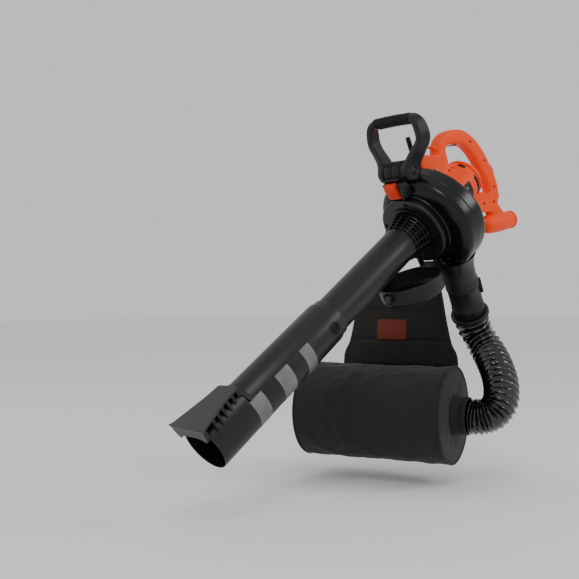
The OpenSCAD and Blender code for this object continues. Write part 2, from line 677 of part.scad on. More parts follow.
module housing_screws() color(steel) tool() for (p = case_screws) translate([0, p[0], p[1]]) {
    rod_x(screw_r, -loop_w / 2 + wall + 2, loop_w / 2 - 4);
    rod_x(screw_r + 1.5, loop_w / 2 - 4, loop_w / 2 - 2);
}
module scroll_screws() color(steel) tool() for (s = screw_places) translate([s[0], 0, s[1]]) {
    rod_y(1.5, split_y + 2, scroll_y1);
    rod_y(3.5, scroll_y1, scroll_y1 + 2);
}

fan_housing_front();
fan_housing_rear();
outlet_duct();
hose_adaptor();
inlet_flange();
motor_housing_left();
motor_housing_right();
motor_vent_cap();
side_vent_inserts();
badge_plate();
front_handle_bracket();
handle_pivot_pin();
front_handle();
front_handle_grip();
handle_release_button();
release_button_spring();
cord_guard();
cord_clamp();
bulb_end_cap();
power_switch();
switch_body();
motor_stator();
motor_armature();
commutator();
motor_shaft();
bearing_front();
bearing_rear();
carbon_brushes();
fan_impeller();
impeller_nut();
inlet_cover();
cover_hinge_pin();
cover_latch();
suction_tube_upper();
suction_tube_lower();
tube_latch_button();
leaf_rake();
reflective_bands();
hose_collar();
vacuum_hose();
bag_cuff();
bag_drum();
bag_back_panel();
bag_zip();
zip_puller();
shoulder_straps();
bag_label();
housing_screws();
scroll_screws();
interlock_switch();
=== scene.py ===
import bpy
import bmesh
import math
from mathutils import Matrix, Vector, noise


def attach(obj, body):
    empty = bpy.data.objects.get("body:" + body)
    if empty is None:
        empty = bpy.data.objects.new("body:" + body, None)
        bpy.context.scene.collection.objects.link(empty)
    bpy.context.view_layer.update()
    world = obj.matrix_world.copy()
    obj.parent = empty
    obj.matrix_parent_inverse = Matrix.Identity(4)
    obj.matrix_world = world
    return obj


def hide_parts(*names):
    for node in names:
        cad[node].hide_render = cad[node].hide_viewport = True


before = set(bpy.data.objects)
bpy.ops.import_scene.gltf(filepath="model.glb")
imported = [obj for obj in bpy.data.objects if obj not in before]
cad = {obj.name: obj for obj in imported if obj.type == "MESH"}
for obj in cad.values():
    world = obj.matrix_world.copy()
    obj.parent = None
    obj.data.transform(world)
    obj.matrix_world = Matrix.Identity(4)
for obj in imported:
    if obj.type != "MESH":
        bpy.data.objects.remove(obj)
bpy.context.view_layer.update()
scene = bpy.context.scene
print("frame loaded,", len(cad), "nodes")

view = {"place": (1.791, -2.2129, -0.3754), "turn": 50.3, "lens": 59.07}
camera = bpy.data.objects.new("camera", bpy.data.cameras.new("camera"))
camera.location = view["place"]
camera.rotation_euler = (math.radians(90), 0, math.radians(view["turn"]))
camera.data.lens = view["lens"]
camera.data.sensor_width = 36
scene.collection.objects.link(camera)
scene.camera = camera


def turn(axis, degrees):
    return Matrix.Rotation(math.radians(degrees), 4, axis)


def shift(x, y, z):
    return Matrix.Translation((x / 1000, y / 1000, z / 1000))


# Local frames of the tool, in metres; every piece is drawn in one of them, in millimetres.
row = Matrix.Identity(4)
tool = turn("X", 37) @ shift(0, -352, 0)
alongTool = tool @ turn("X", -90)  # local z runs rearwards along the motor
neck = tool @ shift(32, 60, -150) @ turn("Y", 13) @ turn("X", 180)
handle = tool @ shift(0, 45, 160) @ turn("X", -29)
cover = tool @ shift(0, 6, -118) @ turn("X", -12)
bulb = tool @ shift(0, 272, -168) @ turn("X", -116.57)
pivot = tool @ shift(0, 45, 160)
latch = tool @ shift(0, -432, 0) @ turn("Y", 90)
bag = shift(33, -142, -730) @ turn("Z", 23)
alongBag = bag @ turn("Y", 90)  # local z runs along the drum towards the hose
zipLine = bag @ turn("X", -42) @ shift(0, 148, 0)


# mesh helpers
def addPiece(name, points, faces, place, closed=True):
    mesh = bpy.data.meshes.new(name)
    mesh.from_pydata([tuple(p) for p in points], [], faces)
    mesh.transform(place @ Matrix.Scale(0.001, 4))
    if closed:
        work = bmesh.new()
        work.from_mesh(mesh)
        bmesh.ops.recalc_face_normals(work, faces=work.faces)
        work.to_mesh(mesh)
        work.free()
    piece = bpy.data.objects.new(name, mesh)
    scene.collection.objects.link(piece)
    return piece


def lofted(name, rings, place, joined=False):
    # rings of equal count, skinned one to the next; joined closes the last on the first
    count, points, faces = len(rings[0]), [p for ring in rings for p in ring], []
    for i in range(len(rings) - (0 if joined else 1)):
        a, b = i * count, (i + 1) % len(rings) * count
        for k in range(count):
            n = (k + 1) % count
            faces.append((a + k, a + n, b + n, b + k))
    if not joined:
        last = (len(rings) - 1) * count
        faces += [tuple(range(count))[::-1], tuple(last + k for k in range(count))]
    return addPiece(name, points, faces, place)


def turned(name, outline, place, steps=96, joined=False):
    # outline is (radius, height) about the local z axis
    rings = [[(r * math.cos(k * math.tau / steps), r * math.sin(k * math.tau / steps), z)
        for k in range(steps)] for r, z in outline]
    return lofted(name, rings, place, joined)


def smoothLine(points, steps):
    # a soft curve through the points
    p = [Vector(q) for q in points]
    p = [2 * p[0] - p[1]] + p + [2 * p[-1] - p[-2]]
    line = []
    for i in range(1, len(p) - 2):
        for k in range(steps):
            t = k / steps
            line.append(0.5 * (2 * p[i] + (p[i + 1] - p[i - 1]) * t
                + (2 * p[i - 1] - 5 * p[i] + 4 * p[i + 1] - p[i + 2]) * t * t
                + (3 * p[i] - p[i - 1] - 3 * p[i + 1] + p[i + 2]) * t ** 3))
    return line + [p[-2]]


def closedCurve(outline):
    # the same for a flat outline that ends where it starts
    line = smoothLine([(a, b, 0) for a, b in outline + outline[:1]], 3)
    return [(p.x, p.y) for p in line][:-1]


def roundedSection(width, depth, square=2.6, count=32):
    section = []
    for k in range(count):
        a = k * math.tau / count
        c, s = math.cos(a), math.sin(a)
        section.append((width / 2 * math.copysign(abs(c) ** (2 / square), c),
            depth / 2 * math.copysign(abs(s) ** (2 / square), s)))
    return section


def carriedFrames(line, first):
    # square frames carried along a line without twisting
    frames, across = [], Vector(first)
    for i in range(len(line)):
        ahead = (line[min(i + 1, len(line) - 1)] - line[max(i - 1, 0)]).normalized()
        across = (across - across.dot(ahead) * ahead).normalized()
        frames.append((line[i], ahead, across, ahead.cross(across)))
    return frames


def stackedRings(levels, square, count=32):
    # levels are (height, half the width, front, rear)
    return [[(a, (front + rear) / 2 + b, z) for a, b in roundedSection(2 * half, rear - front, square, count)]
        for z, half, front, rear in levels]


def swept(name, line, section, place, first=(1, 0, 0), joined=False):
    # section(share of the way) gives the outline at that point
    rings = []
    for i, (p, ahead, u, v) in enumerate(carriedFrames(line, first)):
        rings.append([p + a * u + b * v for a, b in section(i / (len(line) - 1))])
    return lofted(name, rings, place, joined)


def slab(name, outline, low, high, place, axis="x"):
    # flat outline made solid between two planes
    lay = {"x": lambda a, b, h: (h, a, b), "y": lambda a, b, h: (a, h, b),
        "z": lambda a, b, h: (a, b, h)}[axis]
    return lofted(name, [[lay(a, b, h) for a, b in outline] for h in (low, high)], place)


def block(name, low, high, place, soft=0):
    x, y = (low[0], high[0]), (low[1], high[1])
    piece = slab(name, [(x[0], y[0]), (x[1], y[0]), (x[1], y[1]), (x[0], y[1])], low[2], high[2], place, "z")
    return softened(piece, soft) if soft else piece


def settle(piece):
    mesh = bpy.data.meshes.new_from_object(piece.evaluated_get(bpy.context.evaluated_depsgraph_get()))
    piece.modifiers.clear()
    old, piece.data = piece.data, mesh
    mesh.name = piece.name
    bpy.data.meshes.remove(old)
    return piece


def softened(piece, width, segments=3, angle=35):
    bevel = piece.modifiers.new("soften", "BEVEL")
    bevel.width, bevel.segments = width / 1000, segments
    bevel.limit_method, bevel.angle_limit = "ANGLE", math.radians(angle)
    return settle(piece)


def gathered(name, parts):
    work = bmesh.new()
    for part in parts:
        work.from_mesh(part.data)
        bpy.data.objects.remove(part)
    mesh = bpy.data.meshes.new(name)
    work.to_mesh(mesh)
    work.free()
    piece = bpy.data.objects.new(name, mesh)
    scene.collection.objects.link(piece)
    return piece


def fused(name, parts, grain, rounds):
    # melts overlapping solids into one skin with soft inner corners
    piece = gathered(name, parts)
    melt = piece.modifiers.new("melt", "REMESH")
    melt.mode, melt.voxel_size = "VOXEL", grain / 1000
    soft = piece.modifiers.new("smooth", "SMOOTH")
    soft.factor, soft.iterations = 0.5, rounds
    return settle(piece)


def copied(piece, name):
    twin = piece.copy()
    twin.data = piece.data.copy()
    twin.name = name
    scene.collection.objects.link(twin)
    return twin


def carved(piece, cutters):
    for cutter in cutters:
        cut = piece.modifiers.new("cut", "BOOLEAN")
        cut.operation, cut.solver, cut.object = "DIFFERENCE", "MANIFOLD", cutter
        settle(piece)
        bpy.data.objects.remove(cutter)
    return piece


def finished(piece, finish, body="root", stands=(), crease=38):
    # gives a piece its material and shading and joins it to a body
    piece.data.materials.clear()
    piece.data.materials.append(finish)
    piece.data.polygons.foreach_set("material_index", [0] * len(piece.data.polygons))
    piece.data.polygons.foreach_set("use_smooth", [True] * len(piece.data.polygons))
    piece.data.set_sharp_from_angle(angle=math.radians(crease))
    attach(piece, body)
    if stands:
        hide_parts(*stands)
    return piece


# materials
def linear(hexValue):
    parts = [int(hexValue[i:i + 2], 16) / 255 for i in (1, 3, 5)]
    return tuple(c / 12.92 if c <= 0.04045 else ((c + 0.055) / 1.055) ** 2.4 for c in parts) + (1,)


def addNode(tree, kind, settings=None, values=None, links=None):
    node = tree.nodes.new(kind)
    for key, value in (settings or {}).items():
        setattr(node, key, value)
    for key, value in (values or {}).items():
        node.inputs[key].default_value = value
    for key, (source, output) in (links or {}).items():
        tree.links.new(source.outputs[output], node.inputs[key])
    return node


def newFinish(name, shader):
    finish = bpy.data.materials.new(name)
    finish.use_nodes = True
    tree = finish.node_tree
    tree.nodes.clear()
    surface = addNode(tree, "ShaderNodeBsdfPrincipled", values=shader)
    addNode(tree, "ShaderNodeOutputMaterial", links={"Surface": (surface, "BSDF")})
    return finish, tree, surface, addNode(tree, "ShaderNodeTexCoord")


def mottled(tree, surface, where, colours, patch):
    # slow change between two near colours, patch in millimetres
    cloud = addNode(tree, "ShaderNodeTexNoise", values={"Scale": 1000 / patch, "Detail": 3},
        links={"Vector": (where, "Object")})
    blend = addNode(tree, "ShaderNodeMix", {"data_type": "RGBA"}, links={0: (cloud, "Fac")})
    blend.inputs[6].default_value, blend.inputs[7].default_value = linear(colours[0]), linear(colours[1])
    tree.links.new(blend.outputs[2], surface.inputs["Base Color"])
    return blend


def raised(tree, surface, height, output, depth, strength=1.0):
    bump = addNode(tree, "ShaderNodeBump", values={"Distance": depth / 1000, "Strength": strength},
        links={"Height": (height, output)})
    tree.links.new(bump.outputs["Normal"], surface.inputs["Normal"])


def roughened(tree, surface, source, output, low, high):
    spread = addNode(tree, "ShaderNodeMapRange", values={"To Min": low, "To Max": high},
        links={"Value": (source, output)})
    tree.links.new(spread.outputs["Result"], surface.inputs["Roughness"])


def mouldedPlastic(name, colours, rough, grain, depth, coat=0.0, shine=0.3):
    # Injection-moulded plastic: a faint spark-eroded grain from the tool breaks up its highlights.
    finish, tree, surface, where = newFinish(name, {"IOR": 1.53, "Specular IOR Level": shine,
        "Coat Weight": coat, "Coat Roughness": 0.12})
    mottled(tree, surface, where, colours, 60)
    grit = addNode(tree, "ShaderNodeTexNoise", values={"Scale": 1000 / grain, "Detail": 4, "Roughness": 0.6},
        links={"Vector": (where, "Object")})
    roughened(tree, surface, grit, "Fac", rough - 0.06, rough + 0.08)
    raised(tree, surface, grit, "Fac", depth, 0.6)
    return finish


def plainMetal(name, colours, rough, grain, stretch=(1, 1, 1)):
    # Machined or plated metal: fine tool marks drawn out along one direction.
    finish, tree, surface, where = newFinish(name, {"Metallic": 1.0})
    mottled(tree, surface, where, colours, 20)
    drawn = addNode(tree, "ShaderNodeMapping", values={"Scale": stretch}, links={"Vector": (where, "Object")})
    marks = addNode(tree, "ShaderNodeTexNoise", values={"Scale": 1000 / grain, "Detail": 2},
        links={"Vector": (drawn, "Vector")})
    roughened(tree, surface, marks, "Fac", rough - 0.08, rough + 0.12)
    raised(tree, surface, marks, "Fac", 0.05, 0.4)
    return finish


def wovenPolyester(name, colours, thread, rough=0.85, sheen=0.08):
    # Woven 600-denier polyester: a dull cloth with a light sheen. The real threads are 0.5 mm
    # apart; they are drawn three to five times coarser so that the weave shows at all.
    finish, tree, surface, where = newFinish(name, {"IOR": 1.5, "Sheen Weight": sheen,
        "Sheen Roughness": 0.45})
    blend = mottled(tree, surface, where, colours, 70)
    lay = addNode(tree, "ShaderNodeMapping", values={"Rotation": (0, 0, math.radians(-23))},
        links={"Vector": (where, "Object")})
    threads = []
    for way in ("X", "Z"):
        threads.append(addNode(tree, "ShaderNodeTexWave", {"bands_direction": way},
            {"Scale": 1000 / thread / 20 * 3.14, "Distortion": 1.2, "Detail": 1, "Detail Scale": 3},
            {"Vector": (lay, "Vector")}))
    cross = addNode(tree, "ShaderNodeMath", {"operation": "MULTIPLY"},
        links={0: (threads[0], "Fac"), 1: (threads[1], "Fac")})
    dark = addNode(tree, "ShaderNodeMix", {"data_type": "RGBA", "blend_type": "MULTIPLY"}, {0: 0.5},
        {6: (blend, 2), 7: (cross, 0)})
    lift = addNode(tree, "ShaderNodeMix", {"data_type": "RGBA"}, {0: 0.65}, {6: (dark, 2), 7: (blend, 2)})
    tree.links.new(lift.outputs[2], surface.inputs["Base Color"])
    roughened(tree, surface, cross, 0, rough - 0.08, rough + 0.08)
    raised(tree, surface, cross, 0, 0.5, 0.7)
    return finish


orangeAbs = mouldedPlastic("mouldedOrangeAbs", ("#ff4a00", "#f84200"), 0.42, 0.9, 0.06, 0.0, 0.18)
buttonAbs = mouldedPlastic("mouldedButtonAbs", ("#d83a04", "#c83202"), 0.42, 0.9, 0.06, 0.0, 0.2)
charcoalNylon = mouldedPlastic("mouldedCharcoalNylon", ("#181819", "#131314"), 0.42, 1.1, 0.1, 0.0, 0.28)
blackAbs = mouldedPlastic("mouldedBlackAbs", ("#111112", "#0d0d0e"), 0.36, 1.0, 0.07, 0.0, 0.4)
glossBlackAbs = mouldedPlastic("polishedBlackAbs", ("#08090a", "#060607"), 0.24, 2.0, 0.03, 0.0, 0.3)
gripRubber = mouldedPlastic("overmouldedGripRubber", ("#111111", "#0d0d0d"), 0.58, 0.8, 0.15)
hoseVinyl = mouldedPlastic("extrudedHoseVinyl", ("#08080a", "#050506"), 0.15, 3.0, 0.05, 0.4, 0.5)
zincSteel = plainMetal("zincPlatedSteel", ("#b9bdc2", "#a9adb3"), 0.3, 0.6, (1, 1, 6))
coreSteel = plainMetal("laminatedCoreSteel", ("#84888d", "#6d7176"), 0.45, 0.5, (1, 12, 1))
windingCopper = plainMetal("enamelledCopperWinding", ("#8a4f2a", "#6f3d20"), 0.38, 0.8, (12, 1, 12))
brushCarbon = mouldedPlastic("pressedBrushCarbon", ("#3c3c3e", "#313133"), 0.6, 0.6, 0.1)
bagCloth = wovenPolyester("wovenBagPolyester", ("#14130f", "#0f0e0b"), 2.5)
trimCloth = wovenPolyester("wovenTrimWebbing", ("#100f0e", "#0b0b0a"), 2.0, 0.75, 0.08)
labelCloth = wovenPolyester("wovenRustLabel", ("#7d2a14", "#6c220f"), 1.6, 0.8, 0.05)


def silverFilm(name, colours):
    # Retroreflective film: grey by day, tiny glass beads in a fine hexagon net.
    finish, tree, surface, where = newFinish(name, {"Metallic": 0.55})
    mottled(tree, surface, where, colours, 45)
    net = addNode(tree, "ShaderNodeTexVoronoi", {"feature": "DISTANCE_TO_EDGE"}, {"Scale": 1000 / 3},
        {"Vector": (where, "Object")})
    roughened(tree, surface, net, "Distance", 0.5, 0.3)
    raised(tree, surface, net, "Distance", 0.15, 0.5)
    return finish


beadFilm = silverFilm("glassBeadFilm", ("#8e8e8e", "#5c5c5c"))
badgeFilm = silverFilm("printedBadgeFilm", ("#2a211e", "#1e1816"))
print("materials made")


# repeats along a path, as one Geometry Nodes tree
def repeatTree():
    tree = bpy.data.node_groups.new("repeatOnPath", "GeometryNodeTree")
    sockets = {}
    for label, kind in (("Path", "Geometry"), ("Shape", "Object"), ("Count", "Int"), ("Size Spread", "Float"),
            ("Seed", "Int"), ("Finish", "Material")):
        sockets[label] = tree.interface.new_socket(label, in_out="INPUT",
            socket_type="NodeSocket" + kind).identifier
    tree.interface.new_socket("Result", in_out="OUTPUT", socket_type="NodeSocketGeometry")
    entry = addNode(tree, "NodeGroupInput")
    curve = addNode(tree, "GeometryNodeMeshToCurve", links={"Mesh": (entry, "Path")})
    spaced = addNode(tree, "GeometryNodeResampleCurve", {"mode": "COUNT"},
        links={"Curve": (curve, "Curve"), "Count": (entry, "Count")})
    shape = addNode(tree, "GeometryNodeObjectInfo", links={"Object": (entry, "Shape")})
    outward = addNode(tree, "GeometryNodeInputNamedAttribute", {"data_type": "FLOAT_VECTOR"},
        {"Name": "outward"})
    ahead = addNode(tree, "GeometryNodeInputTangent")
    stand = addNode(tree, "FunctionNodeAlignRotationToVector", {"axis": "Z"},
        links={"Vector": (outward, "Attribute")})
    lie = addNode(tree, "FunctionNodeAlignRotationToVector", {"axis": "X", "pivot_axis": "Z"},
        links={"Rotation": (stand, "Rotation"), "Vector": (ahead, "Tangent")})
    low = addNode(tree, "ShaderNodeMath", {"operation": "SUBTRACT"}, {0: 1.0}, {1: (entry, "Size Spread")})
    size = addNode(tree, "FunctionNodeRandomValue", {"data_type": "FLOAT"}, {3: 1.0},
        {2: (low, 0), "Seed": (entry, "Seed")})
    copies = addNode(tree, "GeometryNodeInstanceOnPoints", links={"Points": (spaced, "Curve"),
        "Instance": (shape, "Geometry"), "Rotation": (lie, "Rotation"), "Scale": (size, 1)})
    real = addNode(tree, "GeometryNodeRealizeInstances", links={"Geometry": (copies, "Instances")})
    done = addNode(tree, "GeometryNodeSetMaterial",
        links={"Geometry": (real, "Geometry"), "Material": (entry, "Finish")})
    addNode(tree, "NodeGroupOutput", links={"Result": (done, "Geometry")})
    return tree, sockets


repeatOnPath, repeatSocket = repeatTree()


def repeated(name, path, outward, place, shape, count, finish, body="root", ring=False, spread=0.0, seed=1,
        stands=()):
    # path and outward are in the local frame; shape is drawn at the origin, x along the path and z outwards
    mesh = bpy.data.meshes.new(name)
    edges = [(i, i + 1) for i in range(len(path) - 1)] + ([(len(path) - 1, 0)] if ring else [])
    mesh.from_pydata([tuple(p) for p in path], edges, [])
    mesh.transform(place @ Matrix.Scale(0.001, 4))
    out = mesh.attributes.new("outward", "FLOAT_VECTOR", "POINT")
    for i, v in enumerate(outward):
        out.data[i].vector = place.to_3x3() @ Vector(v)
    piece = bpy.data.objects.new(name, mesh)
    scene.collection.objects.link(piece)
    build = piece.modifiers.new("repeat", "NODES")
    build.node_group = repeatOnPath
    for label, value in (("Shape", shape), ("Count", count), ("Size Spread", spread), ("Seed", seed),
            ("Finish", finish)):
        build[repeatSocket[label]] = value
    settle(piece)
    bpy.data.objects.remove(shape)
    return finished(piece, finish, body, stands)


def arc(radius, height, start, end, steps=48):
    # points and outward directions on a circle about local z
    angles = [math.radians(start + (end - start) * k / steps) for k in range(steps + 1)]
    return ([(radius * math.cos(a), radius * math.sin(a), height) for a in angles],
        [(math.cos(a), math.sin(a), 0) for a in angles])


# corrugated hose, held at both ends
hoseRoute = [(-13, -25, -452), (-16, -12.6, -472), (-14.5, 1.3, -498), (0, 9.3, -526), (21.2, 9.7, -553),
    (45.5, 1.3, -577), (70.5, -12.6, -600), (97.4, -31.8, -626), (121.2, -54.6, -656),
    (133.9, -76.9, -690), (125.3, -96.6, -718), (98, -114, -730), (70, -126, -730)]
hose = {"diameter": 100, "groove": 7.0, "pleat": 21.0, "closedPleat": 9.0, "closesFrom": 0.6,
    "ringsPerPleat": 12, "sides": 72}


def makeHose():
    line = smoothLine(hoseRoute, 14)
    total = sum((b - a).length for a, b in zip(line, line[1:]))
    even, travelled, want, i = [], 0.0, 0.0, 0
    while want < total:  # rings close up where the hose is bunched near the cuff
        while i < len(line) - 2 and travelled + (line[i + 1] - line[i]).length < want:
            travelled += (line[i + 1] - line[i]).length
            i += 1
        span = (line[i + 1] - line[i]).length
        even.append(line[i].lerp(line[i + 1], min(1, (want - travelled) / span)))
        bunched = min(1, max(0, (want / total - hose["closesFrom"]) / 0.22))
        want += (hose["pleat"] + (hose["closedPleat"] - hose["pleat"]) * bunched) / hose["ringsPerPleat"]
    even.append(line[-1])

    rings = []
    for k, (p, ahead, u, v) in enumerate(carriedFrames(even, (1, 0, 0))):
        # wire ridges with loose film between
        valley = abs(math.sin(math.pi * k / hose["ringsPerPleat"])) ** 0.8
        ring = []
        for n in range(hose["sides"]):
            a = n * math.tau / hose["sides"]
            crumple = noise.noise(Vector((6 * math.cos(a), 6 * math.sin(a), k / hose["ringsPerPleat"] * 1.3)))
            r = hose["diameter"] / 2 - valley * (hose["groove"] - 0.8 + 2.2 * crumple)
            ring.append(p + r * (math.cos(a) * u + math.sin(a) * v))
        rings.append(ring)
    piece = lofted("corrugatedHose", rings, row)
    finished(piece, hoseVinyl, "root", ["vacuum_hose"], 60)
    return total


print("hose made, %.0f mm" % makeHose())

# motor housing with the loop handle and the bulb grip, in two halves
housing = {"grain": 2.0, "rounds": 5, "loopWidth": 38, "loopDepth": 41, "casing": 60.6, "bulb": 27.5,
    "seam": 0.7}
loopLine = [(194, 74), (203, 98), (211, 118), (224, 132), (244, 137), (264, 133), (290, 121), (318, 100),
    (338, 64), (348, 22), (351, -20), (350, -62), (342, -96), (322, -122)]
screwSpots = [(272, 104), (330, 80), (352, 2), (196, 66), (345, -84), (276, -98), (316, -118)]
ventArcs = [(-55, 15), (48, 69), (111, 132), (165, 235)]  # degrees up from the right side


def makeHousing():
    parts = []
    line = smoothLine([(0, a, b) for a, b in loopLine], 8)

    def barAt(t):  # slimmer over the top, deeper where the hand holds
        deep = (housing["loopDepth"] + 6 * math.exp(-((t - 0.68) / 0.22) ** 2)
            - 3 * math.exp(-((t - 0.3) / 0.12) ** 2))
        return roundedSection(housing["loopWidth"], deep, 3.4)
    parts.append(swept("loopBar", line, barAt, tool))
    r = housing["casing"]
    parts.append(turned("casing", [(r - 2, 104), (r, 112), (r + 0.5, 170), (r, 238), (r - 3, 254),
        (r - 9, 266), (r - 19, 276), (r - 36, 282), (0.5, 284)], alongTool, 128))
    # bridge from the casing to the handle's front post, wide below and narrow on top
    bridge = ((30, 42, 106, 236), (50, 36, 106, 224), (62, 28, 106, 212), (76, 22, 106, 214),
        (94, 20, 106, 221), (108, 20, 107, 225), (116, 20, 108, 212), (122, 20, 108, 192),
        (130, 20, 110, 176), (142, 20, 112, 158), (152, 20, 114, 142), (159, 19, 116, 134))
    parts.append(lofted("bridge", stackedRings(bridge, 9), tool))
    # foot between the loop's lower end and the casing, and the stem below it
    parts.append(slab("foot", [(196, -40), (214, -66), (258, -116), (296, -140), (352, -118), (346, -88),
        (308, -86), (288, -66), (258, -42)], -19, 19, tool))
    stem = [Vector((0, a, b)) for a, b in ((313, -108), (315, -134), (318, -160), (320, -184))]
    parts.append(swept("stem", stem, lambda t: roundedSection(38 + 6 * t, 46 + 6 * t, 2.4), tool))
    b, far = housing["bulb"], 107.3
    parts.append(turned("bulbGrip", [(0.5, -b), (b * 0.42, -b * 0.92), (b * 0.75, -b * 0.7),
        (b * 0.95, -b * 0.35), (b, 0), (b + 2, 30), (b + 1.5, 60), (b - 0.5, 90),
        (b - 2.5, far - 3), (b - 5, far)], bulb, 96))
    # cord hook on the front of the post
    for hook in (((214, 130), (202, 136), (195, 143), (193, 150)),
            ((206, 108), (194, 111), (189, 117), (190, 125))):
        bend = smoothLine([(0, a, c) for a, c in hook], 6)
        parts.append(swept("cordHook", bend, lambda t: roundedSection(24 - 4 * t, 9 - 2 * t, 3), tool))
    whole = fused("housing", parts, housing["grain"], housing["rounds"])

    cutters = [turned("eye", [(48, 100), (48, 108.5)], alongTool, 64)]
    for y, z in screwSpots:
        place = tool @ shift(0, y, z) @ turn("Y", 90)
        cutters.append(turned("recess", [(4.2, 14.8), (4.2, 40)], place, 32))
        cutters.append(turned("recessLeft", [(3.0, -40), (3.0, -16.5)], place, 32))
    for low, high in ventArcs:
        rings = []
        for k in range(25):
            a = math.radians(low - 0.6 + (high - low + 1.2) * k / 24)
            short = 1.0 if 1 < k < 23 else (0.86 if k in (1, 23) else 0.55)
            rings.append([(r * math.cos(a), 243 + y * short, r * math.sin(a))
                for r, y in ((54.6, -6.4), (70, -6.4), (70, 6.4), (54.6, 6.4))])
        cutters.append(lofted("ventPocket", rings, tool))
    switchPlace = tool @ shift(0, 374, -42) @ turn("X", -91)
    cutters.append(block("switchWell", (-9.6, -18, -22), (9.6, 18, 30), switchPlace))
    for k in range(-4, 5):  # outlet slots in the domed rear
        high = math.sqrt(max(0, 46 ** 2 - (k * 9.5) ** 2))
        front = 262 if abs(k) > 2 else 270
        slot = block("rearSlot", (k * 9.5 - 2.2, front, -high), (k * 9.5 + 2.2, 300, high), tool)
        cutters.append(softened(slot, 1.6))
    lead = tool @ shift(0, 119, 150)
    cutters.append(turned("leadWell", [(8.4, 5), (8.4, 40)], lead, 48))
    carved(whole, cutters)

    for side, name, node in ((-1, "housingLeft", "motor_housing_left"),
            (1, "housingRight", "motor_housing_right")):
        half = copied(whole, name)
        edge = side * housing["seam"] / 2
        cutLow, cutHigh = (edge, 200) if side < 0 else (-200, edge)
        carved(half, [block("otherSide", (cutLow, 60, -300), (cutHigh, 450, 300), tool)])
        finished(half, orangeAbs, "root", [node], 42)
    bpy.data.objects.remove(whole)


makeHousing()
print("motor housing made")

# fan scroll: a rounded snail with a raised step round its eye
scroll = {"start": 102, "end": 168, "front": 14, "rear": 106, "rimFront": 30, "rimRear": 20, "step": 109}


def scrollRadius(t):
    if t >= 0:
        return scroll["start"] + (scroll["end"] - scroll["start"]) * ((225 - t) / 225) ** 1.25
    return scroll["end"] + t / 20


def makeScroll():
    count = 240
    a, b = math.radians(-60), math.radians(-135)
    pa = scrollRadius(-60) * Vector((math.cos(a), math.sin(a)))
    pb = scrollRadius(225) * Vector((math.cos(b), math.sin(b)))
    raw = []
    for k in range(count):
        t = -60 + 360 * k / count
        if t <= 225:
            raw.append(scrollRadius(t))
        else:  # straight side under the throat
            d = Vector((math.cos(math.radians(t)), math.sin(math.radians(t))))
            side = pb - pa
            raw.append(abs(pa.x * side.y - pa.y * side.x) / abs(d.x * side.y - d.y * side.x))
    for _ in range(6):
        raw = [(raw[k - 1] + 2 * raw[k] + raw[(k + 1) % count]) / 4 for k in range(count)]

    def face(r):  # outline from the eye at the front, over the rim, to the bearing at the rear
        f, q, rf, rr = scroll["front"], scroll["rear"], scroll["rimFront"], scroll["rimRear"]
        rf = min(rf, (r - 104) * 0.75 + 6)
        line = [(67, f + 6), (67, f), (100, f), (101, f - 3.6), (103, f - 4.8), (106.5, f - 4.8),
            (108.4, f - 3.4), (scroll["step"], f)]
        if r < 113:
            line = [(min(p, r - 4), z) for p, z in line]
        for n in range(11):
            w = math.pi / 2 * n / 10
            line.append((r - rf + rf * math.sin(w), f + rf * 0.8 * (1 - math.cos(w))))
        mid = (f + q) / 2
        line += [(r, mid - 3), (r, mid - 1), (r - 0.9, mid), (r, mid + 1), (r, mid + 3)]
        for n in range(10, -1, -1):
            w = math.pi / 2 * n / 10
            line.append((r - rr + rr * math.sin(w), q - rr * 0.8 * (1 - math.cos(w))))
        return line + [(62, q), (60, q - 3), (18, q - 3), (18, f + 6)]
    rings = []
    for k in range(count):
        t = math.radians(-60 + 360 * k / count)
        rings.append([(r * math.cos(t), y, r * math.sin(t)) for r, y in face(raw[k])])
    piece = lofted("fanScroll", rings, tool, joined=True)
    halfLine = (scroll["front"] + scroll["rear"]) / 2
    rear = copied(piece, "fanScrollRear")
    piece.name = "fanScrollFront"
    carved(piece, [block("rearSide", (-300, halfLine, -300), (300, 200, 300), tool)])
    carved(rear, [block("frontSide", (-300, -50, -300), (300, halfLine, 300), tool)])
    finished(piece, glossBlackAbs, "root", ["fan_housing_front"], 50)
    finished(rear, glossBlackAbs, "root", ["fan_housing_rear"], 50)


makeScroll()
print("fan scroll made")

# outlet neck, hose adaptor and swivel collar
outlet = {"radius": 46, "duct": 78, "adaptor": 118, "collar": 56, "collarRibs": 44}


